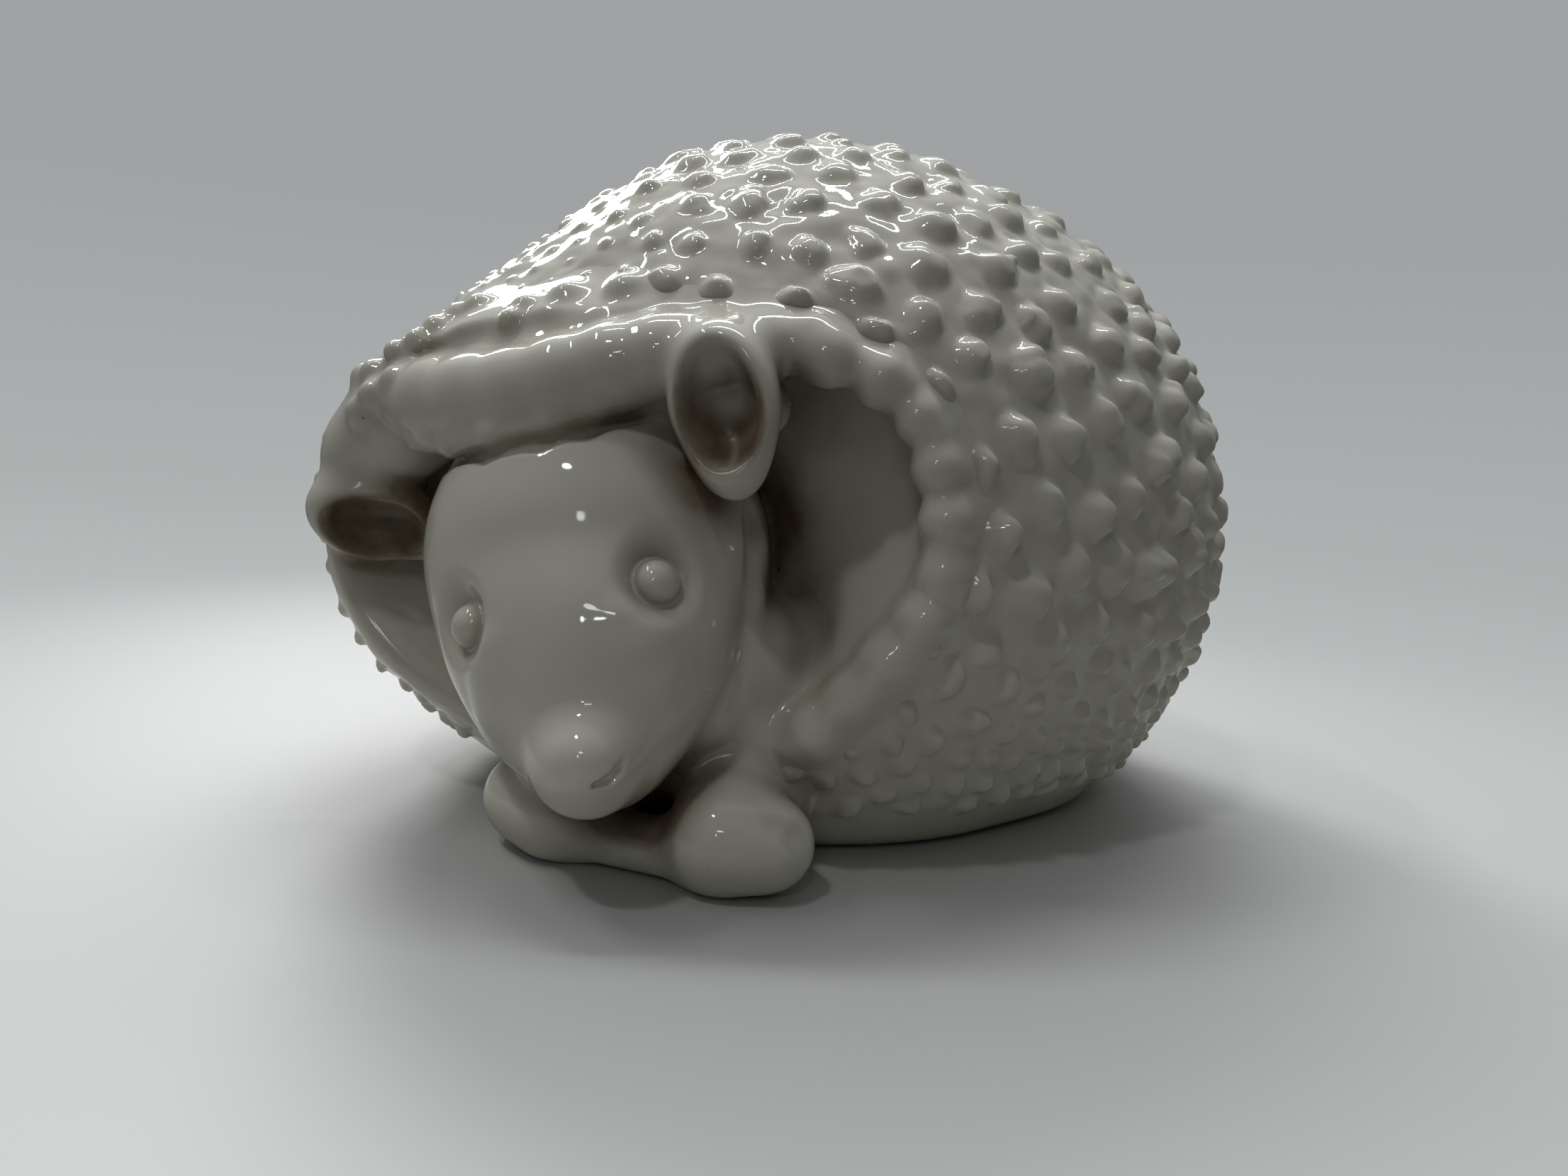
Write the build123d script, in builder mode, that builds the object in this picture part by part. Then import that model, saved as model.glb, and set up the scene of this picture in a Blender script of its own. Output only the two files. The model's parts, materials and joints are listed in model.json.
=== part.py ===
# Hedgehog figurine: a hollow, slip-cast porcelain animal, curled and resting on a flat foot.
# Millimetres. +Z is up, the animal looks towards -Y and its left side is on +X.
# The coat's middle ball stands over the drawing origin; the last section moves every piece so
# that the finished model's origin is under the middle of its bounding box, on the table.

from build123d import *
from math import acos, atan2, cos, degrees, pi, radians, sin, sqrt
import os
import random

os.makedirs("parts", exist_ok=True)

# Coat: three balls in a row, joined by their tangent cones
coat_axis_height = 30.0
coat_turn = 46.2            # the row of balls points this far from -Y towards -X
middle_ball_radius = 44.4
rear_ball_radius = 42.6
rear_ball_distance = 8.4
brow_ball_radius = 25.0
brow_ball_distance = 30.2
coat_wall = 3.2

# Foot: the closed underside with the hole that lets steam out in the kiln
foot_plate_thickness = 3.0
foot_inset = 1.4            # the foot stands in from the coat
vent_radius = 2.5
vent_distance = 15.0        # behind the coat's middle

# Face bowl: the hollow in the coat that the head lies in
bowl_half_width = 31.0
bowl_depth = 20.0
bowl_centre_x = -8.0
bowl_centre_y = -43.7
bowl_centre_z = 28.0
bowl_wall = 2.8

# Head: skull, cheeks and muzzle in a row
skull_x = -8.6
skull_y = -34.3
skull_z = 27.8
head_turn = 30.5            # the muzzle points this far from -Y towards +X
head_dip = 41.0             # and this far below level
head_tilt = 24.0            # its top leans this far towards the animal's right
skull_radius = 17.0
cheek_radius = 12.6
cheek_distance = 9.5
muzzle_radius = 7.2
muzzle_distance = 20.7
head_wall = 2.6
nose_radius = 4.6
nose_distance = 4.5         # ahead of the muzzle's centre
nose_rise = 2.2

# Eyes: clay beads pressed into the head
eye_radius = 2.2
eye_station = 12.5          # along the head from the skull's centre
eye_clock = 46.0            # round the head from its top, to either side

# Ears: oval leaves with a scooped front, each turned about its own upright, clock and nod
ear_half_width = 5.4
ear_half_height = 7.9
ear_thickness = 4.4
ear_edge_round = 1.5
ear_scoop_radius = 11.0
ear_scoop_depth = 2.4
left_ear_x = 6.4
left_ear_y = -42.6
left_ear_z = 42.4
left_ear_clock = 8.0
right_ear_x = -32.5
right_ear_y = -38.6
right_ear_z = 29.0
right_ear_clock = 68.0
right_ear_nod = 20.0

# Hood roll: the thick hem of the coat over the forehead
roll_radius = 5.8
roll_half_width = 29.0
roll_half_height = 19.0
roll_y = -36.5
roll_start_angle = 56.0
roll_end_angle = 154.0

# Hem knobs: the scalloped edge beside the head
hem_knob_radius = 2.5
hem_knob_pitch = 5.4
hem_half_width = 29.6
hem_half_height = 19.6
hem_start_angle = -58.0
hem_end_angle = 40.0
hem_search_step = 0.5       # degrees between the tries for the next bead's place

# Throat and front paws
throat_radius = 9.5
throat_x = 4.5
throat_y = -32.0
throat_z = 17.0
wrist_radius = 6.5
wrist_y = -28.0
wrist_height = 7.8
wrist_inset = 3.0
paw_radius = 5.2
paw_height = 4.7
right_paw_x = -7.0
left_paw_x = 10.0
paw_y = -43.0
toe_radius = 4.4
toe_spread = 3.9
toe_setback = 1.0
web_radius = 2.8
web_height = 2.5
web_y = -42.5

# Quills: round-tipped knobs in rings round the coat's axis
quill_radius = 1.75
quill_height = 1.8
quill_tip_share = 0.6       # of the quill's radius
quill_pitch = 5.4
quill_row_share = 0.87      # rings lie this share of the pitch apart
quill_lean = 22.0           # the tips lean away from the face
quill_sink = 0.4            # the knob's base ball is centred this far under its flat seat
quill_seat_gap = 0.03
quill_scatter_share = 0.1   # of the pitch
quill_size_share = 0.2      # a small, a middle and a large knob differ by this share
quill_foot_band = 6.0       # smooth coat above the table
quill_bare_band = 4.6       # smooth coat round the mouth of the bowl
quill_pole_band = 6.0       # along the outline, at either end of the coat
quill_clearance = 3.5       # from a quill's axis to the roll and the front legs
quill_seed = 11
crown_height = 58.0         # quills above this belong to the crown
brow_station = 14.0         # and ahead of this, along the coat, to the brow
rump_station = -22.0        # behind this, to the rump


def ball_row(plane, balls):
    """A solid of balls (station, radius) in a row along the plane's X, joined by tangent cones."""
    slopes = [(radius - after) / (far - near) for (near, radius), (far, after) in zip(balls, balls[1:])]
    angles = [180.0] + [degrees(acos(slope)) for slope in slopes] + [0.0]
    with BuildSketch(plane) as outline:
        with BuildLine():
            for (station, radius), start, end in zip(balls, angles, angles[1:]):
                CenterArc((station, 0), radius, start, end - start)
            for (near, radius), (far, after), angle in zip(balls, balls[1:], angles[1:]):
                turn = radians(angle)
                Line((near + radius * cos(turn), radius * sin(turn)),
                     (far + after * cos(turn), after * sin(turn)))
            Line((balls[-1][0] + balls[-1][1], 0), (balls[0][0] - balls[0][1], 0))
        make_face()
    with BuildPart() as row:
        revolve(outline.sketch, axis=Axis(plane.origin, plane.x_dir))
    return row.part


def shrunk(balls, wall):
    """The same row of balls, thinner by a wall."""
    return [(station, radius - wall) for station, radius in balls]


def face_bowl_form(grow):
    """The long egg that hollows the coat out, larger by grow all round."""
    centre = Plane(origin=(bowl_centre_x, bowl_centre_y, bowl_centre_z), x_dir=(1, 0, 0), z_dir=(0, 1, 0))
    long_radius = bowl_half_width + grow
    short_radius = bowl_depth + grow
    with BuildSketch(centre) as outline:
        with BuildLine():
            EllipticalCenterArc((0, 0), long_radius, short_radius, start_angle=0, arc_size=180)
            Line((-long_radius, 0), (long_radius, 0))
        make_face()
    with BuildPart() as bowl:
        revolve(outline.sketch, axis=Axis(centre.origin, centre.x_dir))
    return bowl.part


def surface_walk(balls):
    """The coat's outline as steps: (length, what it follows, where it starts)."""
    slopes = [(radius - after) / (far - near) for (near, radius), (far, after) in zip(balls, balls[1:])]
    turns = [pi] + [acos(slope) for slope in slopes] + [0.0]
    steps = []
    for index, (station, radius) in enumerate(balls):
        start, end = turns[index], turns[index + 1]
        steps.append((radius * (start - end), "ball", station, radius, start))
        if index < len(slopes):
            gap = balls[index + 1][0] - station
            steps.append((gap * sin(end), "cone", station, radius, end))
    return steps


def surface_place(balls, walked):
    """Station, distance from the axis and slope of the coat, a way along its outline."""
    for length, kind, station, radius, turn in surface_walk(balls):
        if walked <= length:
            if kind == "ball":
                turn -= walked / radius
                return station + radius * cos(turn), radius * sin(turn), turn
            return (station + radius * cos(turn) + walked * sin(turn),
                    radius * sin(turn) - walked * cos(turn), turn)
        walked -= length
    return None


# The coat's own forms
coat_plane = Plane(
    origin=(0, 0, coat_axis_height),
    x_dir=(-sin(radians(coat_turn)), -cos(radians(coat_turn)), 0),
    z_dir=(cos(radians(coat_turn)), -sin(radians(coat_turn)), 0),
)
coat_balls = [
    (-rear_ball_distance, rear_ball_radius),
    (0.0, middle_ball_radius),
    (brow_ball_distance, brow_ball_radius),
]
coat_form = ball_row(coat_plane, coat_balls)
bowl_form = face_bowl_form(0)
bowl_back_form = face_bowl_form(bowl_wall)

with BuildPart() as coat_block:
    add(coat_form)
    add(bowl_form, mode=Mode.SUBTRACT)

# Hood roll: a round hem along the upper half of the bowl's mouth
roll_plane = Plane(origin=(bowl_centre_x, roll_y, bowl_centre_z), x_dir=(1, 0, 0), z_dir=(0, -1, 0))
with BuildLine(roll_plane) as roll_path:
    EllipticalCenterArc((0, 0), roll_half_width, roll_half_height,
                        start_angle=roll_start_angle, arc_size=roll_end_angle - roll_start_angle)
with BuildPart() as hood_roll:
    with BuildSketch(Plane(origin=roll_path.line @ 0, z_dir=roll_path.line % 0)):
        Circle(roll_radius)
    sweep(path=roll_path.line)
    with Locations(roll_path.line @ 0, roll_path.line @ 1):
        Sphere(roll_radius)

# Foot plate
with BuildPart() as foot_plate:
    add(ball_row(coat_plane, shrunk(coat_balls, foot_inset)))
    split(bisect_by=Plane.XY, keep=Keep.TOP)
    split(bisect_by=Plane.XY.offset(foot_plate_thickness), keep=Keep.BOTTOM)
    with Locations((0, vent_distance, foot_plate_thickness)):
        Hole(vent_radius)

# Coat shell: the hollow dome, open below and at the face
with BuildPart() as coat_shell:
    add(coat_form)
    add(ball_row(coat_plane, shrunk(coat_balls, coat_wall)), mode=Mode.SUBTRACT)
    add(bowl_back_form, mode=Mode.SUBTRACT)
    add(hood_roll.part, mode=Mode.SUBTRACT)
    split(bisect_by=Plane.XY.offset(foot_plate_thickness), keep=Keep.TOP)

# Face bowl: the wall behind and round the head
with BuildPart() as face_bowl:
    add(bowl_back_form)
    add(bowl_form, mode=Mode.SUBTRACT)
    add(coat_form, mode=Mode.INTERSECT)
    add(hood_roll.part, mode=Mode.SUBTRACT)

# Head
head_direction = Vector(
    sin(radians(head_turn)) * cos(radians(head_dip)),
    -cos(radians(head_turn)) * cos(radians(head_dip)),
    -sin(radians(head_dip)),
)
level_side = Vector(cos(radians(head_turn)), sin(radians(head_turn)), 0)
level_top = head_direction.cross(level_side)
head_top = level_top * cos(radians(head_tilt)) - level_side * sin(radians(head_tilt))
head_side = level_side * cos(radians(head_tilt)) + level_top * sin(radians(head_tilt))
skull = Vector(skull_x, skull_y, skull_z)
head_plane = Plane(origin=skull, x_dir=head_direction, z_dir=head_side)
head_balls = [(0.0, skull_radius), (cheek_distance, cheek_radius), (muzzle_distance, muzzle_radius)]
head_form = ball_row(head_plane, head_balls)

with BuildPart() as head_shell:
    add(head_form)
    add(ball_row(head_plane, shrunk(head_balls, head_wall)), mode=Mode.SUBTRACT)
    add(coat_block.part, mode=Mode.SUBTRACT)
    add(hood_roll.part, mode=Mode.SUBTRACT)

with BuildPart() as nose:
    with Locations(skull + head_direction * (muzzle_distance + nose_distance) + head_top * nose_rise):
        Sphere(nose_radius)
    add(head_form, mode=Mode.SUBTRACT)


def head_place(station, clock):
    """A point on the head: so far along from the skull, so many degrees round from its top."""
    share = (station - cheek_distance) / (muzzle_distance - cheek_distance)
    radius = cheek_radius + share * (muzzle_radius - cheek_radius)
    outward = head_top * cos(radians(clock)) + head_side * sin(radians(clock))
    return skull + head_direction * station + outward * radius


eyes = {}
for name, clock in (("left_eye", eye_clock), ("right_eye", -eye_clock)):
    with BuildPart() as eye:
        with Locations(head_place(eye_station, clock)):
            Sphere(eye_radius)
        add(head_form, mode=Mode.SUBTRACT)
    eyes[name] = eye.part


# Ears
ear_plane = Plane(origin=(0, 0, 0), x_dir=(1, 0, 0), z_dir=(0, -1, 0))
ear_places = {
    "left_ear": ((left_ear_x, left_ear_y, left_ear_z), (0, 0, left_ear_clock)),
    "right_ear": ((right_ear_x, right_ear_y, right_ear_z), (right_ear_nod, 0, right_ear_clock)),
}
ears = {}
for name, (place, turns) in ear_places.items():
    with BuildPart() as leaf:
        with BuildSketch(ear_plane):
            Ellipse(ear_half_width, ear_half_height)
        extrude(amount=ear_thickness / 2, both=True)
        fillet(leaf.edges(), ear_edge_round)
        with Locations((0, -(ear_thickness / 2 + ear_scoop_radius - ear_scoop_depth), 0)):
            Sphere(ear_scoop_radius, mode=Mode.SUBTRACT)
    stand = Location(place) * Location(ear_plane.rotated(turns)) * Location(ear_plane).inverse()
    with BuildPart() as ear:
        add(leaf.part.moved(stand))
        add(head_form, mode=Mode.SUBTRACT)
        add(coat_block.part, mode=Mode.SUBTRACT)
        add(hood_roll.part, mode=Mode.SUBTRACT)
    ears[name] = ear.part

# Front paws: a forearm and a broad hand, flat underneath; the right one mirrors the left one
with BuildPart() as limb:
    wrist = Vector(-wrist_inset, wrist_y, wrist_height)
    forearm = Vector(0, paw_y, paw_height) - wrist
    add(ball_row(Plane(origin=wrist, x_dir=forearm, z_dir=forearm.cross(Vector(0, 0, 1))),
                 [(0.0, wrist_radius), (forearm.length, paw_radius)]))
    with Locations((toe_spread, paw_y + toe_setback, paw_height)):
        Sphere(toe_radius)
    split(bisect_by=Plane.XY, keep=Keep.TOP)
limbs = {
    "left_front_paw": limb.part.moved(Location((left_paw_x, 0, 0))),
    "right_front_paw": mirror(limb.part, about=Plane.YZ).moved(Location((right_paw_x, 0, 0))),
}
forearms = [
    (wrist + Vector(left_paw_x, 0, 0), forearm),
    (Vector(right_paw_x - wrist.X, wrist.Y, wrist.Z), Vector(-forearm.X, forearm.Y, forearm.Z)),
]
paws = {}
for name, form in limbs.items():
    with BuildPart() as paw:
        add(form)
        add(coat_block.part, mode=Mode.SUBTRACT)
        add(head_form, mode=Mode.SUBTRACT)
    paws[name] = paw.part

# Throat: the fold of the chest under the chin
with BuildPart() as throat:
    with Locations((throat_x, throat_y, throat_z)):
        Sphere(throat_radius)
    add(coat_block.part, mode=Mode.SUBTRACT)
    add(head_form, mode=Mode.SUBTRACT)
    for paw in paws.values():
        add(paw, mode=Mode.SUBTRACT)

with BuildPart() as paw_web:
    add(ball_row(Plane(origin=(right_paw_x, web_y, web_height), x_dir=(1, 0, 0), z_dir=(0, 1, 0)),
                 [(0.0, web_radius), (left_paw_x - right_paw_x, web_radius)]))
    split(bisect_by=Plane.XY, keep=Keep.TOP)
    for paw in paws.values():
        add(paw, mode=Mode.SUBTRACT)
    add(coat_block.part, mode=Mode.SUBTRACT)


# Hem knobs: the coat's scalloped edge, a row of separate beads on the rim of the bowl
def hem_place(turn):
    """A point on the middle ball over the rim of the bowl."""
    x = bowl_centre_x + hem_half_width * cos(turn)
    rise = bowl_centre_z - coat_axis_height + hem_half_height * sin(turn)
    return Vector(x, -sqrt(middle_ball_radius**2 - x**2 - rise**2), coat_axis_height + rise)


hem_spots = [hem_place(radians(hem_start_angle))]
turn = radians(hem_start_angle)
while turn < radians(hem_end_angle):
    turn += radians(hem_search_step)
    if (hem_place(turn) - hem_spots[-1]).length >= hem_knob_pitch:
        hem_spots.append(hem_place(turn))

with BuildPart() as hem_knobs:
    with Locations(hem_spots):
        Sphere(hem_knob_radius)
    add(coat_block.part, mode=Mode.SUBTRACT)
    add(hood_roll.part, mode=Mode.SUBTRACT)
    add(throat.part, mode=Mode.SUBTRACT)
    for paw in paws.values():
        add(paw, mode=Mode.SUBTRACT)


# Quills
def in_face_bowl(point):
    """Whether a point lies in the bowl or on the smooth band round its mouth."""
    across = (point.X - bowl_centre_x) / (bowl_half_width + quill_bare_band)
    along = (point.Y - bowl_centre_y) / (bowl_depth + quill_bare_band)
    up = (point.Z - bowl_centre_z) / (bowl_depth + quill_bare_band)
    return across**2 + along**2 + up**2 < 1


def near_hood_roll(point):
    """Whether a quill standing here would touch the roll."""
    turn = degrees(atan2((point.Z - bowl_centre_z) / roll_half_height,
                         (point.X - bowl_centre_x) / roll_half_width))
    turn = radians(min(max(turn, roll_start_angle), roll_end_angle))
    core = Vector(bowl_centre_x + roll_half_width * cos(turn), roll_y,
                  bowl_centre_z + roll_half_height * sin(turn))
    return (point - core).length < roll_radius + quill_clearance


def near_forearm(point):
    """Whether a quill standing here would touch a front leg."""
    for wrist, forearm in forearms:
        share = min(max((point - wrist).dot(forearm) / forearm.length**2, 0), 1)
        if (point - wrist - forearm * share).length < wrist_radius + quill_clearance:
            return True
    return False


def zone_of(point, station):
    """The node that a quill belongs to."""
    if point.Z > crown_height:
        return "quills_crown"
    if station > brow_station:
        return "quills_brow"
    if station < rump_station:
        return "quills_rump"
    on_left = point.X * coat_plane.z_dir.X + point.Y * coat_plane.z_dir.Y > 0
    return "quills_left_flank" if on_left else "quills_right_flank"


lean = radians(quill_lean)
quill_forms = []
for size in (1 - quill_size_share, 1, 1 + quill_size_share):
    base_radius = quill_radius * size
    tip_radius = base_radius * quill_tip_share
    sink = quill_sink * size
    base_plane = Plane(origin=(0, 0, -sink), x_dir=(sin(lean), 0, cos(lean)), z_dir=(0, 1, 0))
    with BuildPart() as knob:
        add(ball_row(base_plane, [(0.0, base_radius), (sink + quill_height * size - tip_radius, tip_radius)]))
        split(bisect_by=Plane.XY, keep=Keep.TOP)
    quill_forms.append(knob.part)

dice = random.Random(quill_seed)
outline_length = sum(step[0] for step in surface_walk(coat_balls))
ring_step = quill_pitch * quill_row_share
ring_count = int((outline_length - 2 * quill_pole_band) / ring_step)
scatter = quill_pitch * quill_scatter_share
quill_zones = {}
for ring in range(ring_count):
    station, ring_radius, slope = surface_place(coat_balls, quill_pole_band + ring * ring_step)
    count = max(1, round(2 * pi * ring_radius / quill_pitch))
    for index in range(count):
        turn = 2 * pi * (index + ring % 2 / 2) / count + dice.uniform(-scatter, scatter) / ring_radius
        knob = dice.choice(quill_forms)
        across = coat_plane.z_dir * sin(turn) + Vector(0, 0, cos(turn))
        foot = coat_plane.origin + coat_plane.x_dir * station + across * ring_radius
        if foot.Z < quill_foot_band or in_face_bowl(foot):
            continue
        if near_hood_roll(foot) or near_forearm(foot):
            continue
        outward = across * sin(slope) + coat_plane.x_dir * cos(slope)
        rearward = across * cos(slope) - coat_plane.x_dir * sin(slope)
        seat = Plane(origin=foot + outward * quill_seat_gap, x_dir=rearward, z_dir=outward)
        quill_zones.setdefault(zone_of(foot, station), []).append(knob.moved(Location(seat)))

zones = {}
for name, knobs in quill_zones.items():
    with BuildPart() as zone:
        add(knobs)
    zones[name] = zone.part


# The finished model: every piece moved so that the origin is under the middle of the whole
pieces = {
    "foot_plate": foot_plate.part,
    "coat_shell": coat_shell.part,
    "face_bowl": face_bowl.part,
    "hood_roll": hood_roll.part,
    "hem_knobs": hem_knobs.part,
    "head_shell": head_shell.part,
    "nose": nose.part,
    "throat": throat.part,
    "paw_web": paw_web.part,
}
pieces.update(eyes)
pieces.update(ears)
pieces.update(paws)
pieces.update(zones)
boxes = [piece.bounding_box(optimal=True) for piece in pieces.values()]
middle_x = (min(box.min.X for box in boxes) + max(box.max.X for box in boxes)) / 2
middle_y = (min(box.min.Y for box in boxes) + max(box.max.Y for box in boxes)) / 2
for name, piece in pieces.items():
    finished = piece.moved(Location((-middle_x, -middle_y, 0)))
    finished.label = name
    export_step(finished, f"parts/{name}.step")
print("The origin is at", round(middle_x, 2), round(middle_y, 2), "in the drawing's frame")
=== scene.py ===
# Hedgehog figurine: a curled animal in white glazed porcelain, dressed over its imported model.
# Metres. +Z is up, the animal looks towards -Y and its left side is on +X.
import json
import random

import bpy
import numpy as np
from mathutils import Matrix, Vector

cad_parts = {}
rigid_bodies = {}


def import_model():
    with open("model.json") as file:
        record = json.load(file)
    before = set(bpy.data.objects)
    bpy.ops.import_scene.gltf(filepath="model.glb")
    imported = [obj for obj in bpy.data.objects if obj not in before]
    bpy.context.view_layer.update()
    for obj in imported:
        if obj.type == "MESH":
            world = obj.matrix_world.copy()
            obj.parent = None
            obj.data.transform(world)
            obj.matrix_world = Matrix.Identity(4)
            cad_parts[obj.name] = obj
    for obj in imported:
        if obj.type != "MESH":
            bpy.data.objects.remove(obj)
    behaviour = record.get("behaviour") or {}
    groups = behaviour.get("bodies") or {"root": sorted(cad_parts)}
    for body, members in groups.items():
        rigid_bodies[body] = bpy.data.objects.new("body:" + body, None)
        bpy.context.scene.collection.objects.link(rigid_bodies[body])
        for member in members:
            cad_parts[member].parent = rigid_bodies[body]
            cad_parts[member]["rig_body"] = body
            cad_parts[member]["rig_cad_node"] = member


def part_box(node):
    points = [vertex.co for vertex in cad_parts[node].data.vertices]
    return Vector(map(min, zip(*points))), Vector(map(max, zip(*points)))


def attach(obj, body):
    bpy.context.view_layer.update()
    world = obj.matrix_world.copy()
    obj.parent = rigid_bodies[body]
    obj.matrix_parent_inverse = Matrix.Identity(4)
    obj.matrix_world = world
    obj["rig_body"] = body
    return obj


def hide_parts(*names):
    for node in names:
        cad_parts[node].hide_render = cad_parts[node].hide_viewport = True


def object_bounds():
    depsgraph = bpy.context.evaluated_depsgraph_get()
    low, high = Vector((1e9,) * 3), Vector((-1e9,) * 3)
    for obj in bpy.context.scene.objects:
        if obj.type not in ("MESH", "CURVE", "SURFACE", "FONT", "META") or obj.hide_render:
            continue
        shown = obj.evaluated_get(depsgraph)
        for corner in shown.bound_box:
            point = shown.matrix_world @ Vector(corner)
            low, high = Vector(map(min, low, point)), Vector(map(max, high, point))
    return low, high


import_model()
model_low, model_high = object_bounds()

# Table, lamps and camera.
# The figurine stands on a pale matt board. Long and broad soft lamps hang over and behind it, and
# three small ones leave bright dots down its face. The camera is close in front, a little above it.
lens_place = Vector((0.0479, -0.1344, 0.043))
lens_turn = np.radians(20.0)            # from +Y towards -X
lens_dip = np.radians(8.3)
lens_roll = np.radians(4.0)             # the level line falls towards the right
lens_length = 27.0                      # millimetres on a sensor 36 wide

ahead = Vector((-np.sin(lens_turn) * np.cos(lens_dip), np.cos(lens_turn) * np.cos(lens_dip),
                -np.sin(lens_dip)))
level_right = Vector((np.cos(lens_turn), np.sin(lens_turn), 0))
level_up = level_right.cross(ahead)
right = level_right * np.cos(lens_roll) + level_up * np.sin(lens_roll)
up = level_up * np.cos(lens_roll) - level_right * np.sin(lens_roll)
camera_data = bpy.data.cameras.new("camera")
camera_data.lens = lens_length
camera_data.sensor_width = 36.0
camera_data.clip_start = 0.01


def put_in(name, data):
    """An object in the scene with that name and data."""
    thing = bpy.data.objects.new(name, data)
    bpy.context.scene.collection.objects.link(thing)
    return thing


camera = put_in("camera", camera_data)
camera.matrix_world = Matrix.Translation(lens_place) @ Matrix((right, up, -ahead)).transposed().to_4x4()
bpy.context.scene.camera = camera


def soft_lamp(name, place, target, width, height, watts):
    """A lamp of that width and height, facing the target."""
    data = bpy.data.lights.new(name, "AREA")
    data.shape = "ELLIPSE"
    data.size = width
    data.size_y = height
    data.energy = watts
    lamp = put_in(name, data)
    lamp.location = place
    lamp.rotation_euler = (Vector(target) - Vector(place)).to_track_quat("-Z", "Y").to_euler()


middle = Vector((0, 0, 0.035))
lamps = {  # way from the figurine, distance, width, height and watts of each lamp
    "strip": ((-0.12, 0.28, 0.95), 1.30, 1.05, 0.080, 4.1),
    "far_strip": ((-0.30, 0.60, 0.74), 1.40, 0.90, 0.080, 4.3),
    "left_strip": ((-0.52, -0.12, 0.85), 1.30, 0.52, 0.035, 1.6),
    "back": ((-0.62, 0.60, 0.50), 1.60, 0.50, 0.50, 9.5),
    "ceiling_left": ((-0.15, -0.48, 0.86), 1.40, 0.130, 0.080, 1.5),
    "ceiling_right": ((0.19, -0.81, 0.55), 1.40, 0.200, 0.090, 0.42),
    "front": ((0.13, -0.89, 0.43), 1.40, 0.070, 0.070, 0.26),
}
for name, (way, distance, width, height, watts) in lamps.items():
    soft_lamp(name, middle + Vector(way).normalized() * distance, middle, width, height, watts)


class Tree:
    """A node tree being built: new nodes with their settings and inputs, each input a value or a socket."""

    def __init__(self, tree):
        self.tree = tree

    def socket(self, name, kind, default=None, into=True):
        way = "INPUT" if into else "OUTPUT"
        item = self.tree.interface.new_socket(name, in_out=way, socket_type="NodeSocket" + kind)
        if default is not None:
            item.default_value = default
        return item

    def feed(self, node, inputs):
        for key, value in inputs.items() if isinstance(inputs, dict) else enumerate(inputs):
            if isinstance(value, bpy.types.NodeSocket):
                self.tree.links.new(value, node.inputs[key])
            elif value is not None:
                node.inputs[key].default_value = value
        return node

    def add(self, kind, inputs=(), **settings):
        node = self.tree.nodes.new(kind)
        for key, value in settings.items():
            setattr(node, key, value)
        return self.feed(node, inputs)

    def sum(self, operation, *values):
        return self.add("ShaderNodeMath", values, operation=operation).outputs[0]

    def times(self, *values):
        return self.sum("MULTIPLY", *values)

    def vector(self, operation, *values):
        node = self.add("ShaderNodeVectorMath", values[:2], operation=operation)
        if len(values) > 2:
            node.inputs["Scale"].default_value = 1.0
            self.tree.links.new(values[2], node.inputs["Scale"])
        return node.outputs["Value" if operation in ("DOT_PRODUCT", "LENGTH") else "Vector"]

    def noise(self, place, scale, detail=1.0):
        return self.add("ShaderNodeTexNoise", {"Vector": place, "Scale": scale, "Detail": detail}).outputs

    def mix(self, share, first, second, blend="MIX"):
        return self.add("ShaderNodeMix", {0: share, 6: first, 7: second}, data_type="RGBA",
                        blend_type=blend).outputs[2]

    def ranged(self, *values, **settings):
        return self.add("ShaderNodeMapRange", values, **settings).outputs[0]


# The lens sees a backdrop that grows lighter downwards, and the glaze a room that is light on one side.
backdrop_stops = ((0.22, (0.69, 0.71, 0.70)), (0.36, (0.58, 0.60, 0.60)), (0.46, (0.42, 0.44, 0.44)),
                  (0.58, (0.35, 0.36, 0.365)))
room_stops = ((0.10, (0.016, 0.015, 0.013)), (0.50, (0.022, 0.021, 0.019)), (0.85, (0.17, 0.175, 0.175)),
              (1.0, (0.72, 0.74, 0.75)))
window_way = Vector((-0.25, 0.50, 0.83)).normalized()
world = bpy.data.worlds.new("studio")
bpy.context.scene.world = world
world.use_nodes = True
world.node_tree.nodes.clear()
sky = Tree(world.node_tree)


def sky_light(value, stops):
    """Light whose colour runs through the stops as a value goes from -1 to 1."""
    ramp = sky.add("ShaderNodeValToRGB", [sky.sum("MULTIPLY_ADD", value, 0.5, 0.5)])
    while len(ramp.color_ramp.elements) < len(stops):
        ramp.color_ramp.elements.new(0.5)
    for element, (position, colour) in zip(ramp.color_ramp.elements, stops):
        element.position = position
        element.color = (*colour, 1)
    return sky.add("ShaderNodeBackground", {"Color": ramp.outputs[0]}).outputs[0]


direction = sky.add("ShaderNodeTexCoord").outputs["Generated"]
backdrop = sky_light(sky.add("ShaderNodeSeparateXYZ", [direction]).outputs["Z"], backdrop_stops)
room = sky_light(sky.vector("DOT_PRODUCT", direction, window_way), room_stops)
for_lens = sky.add("ShaderNodeLightPath").outputs["Is Camera Ray"]
choice = sky.add("ShaderNodeMixShader", [for_lens, room, backdrop])
sky.add("ShaderNodeOutputWorld", {"Surface": choice.outputs[0]})
bpy.context.scene.view_settings.view_transform = "Standard"

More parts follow.
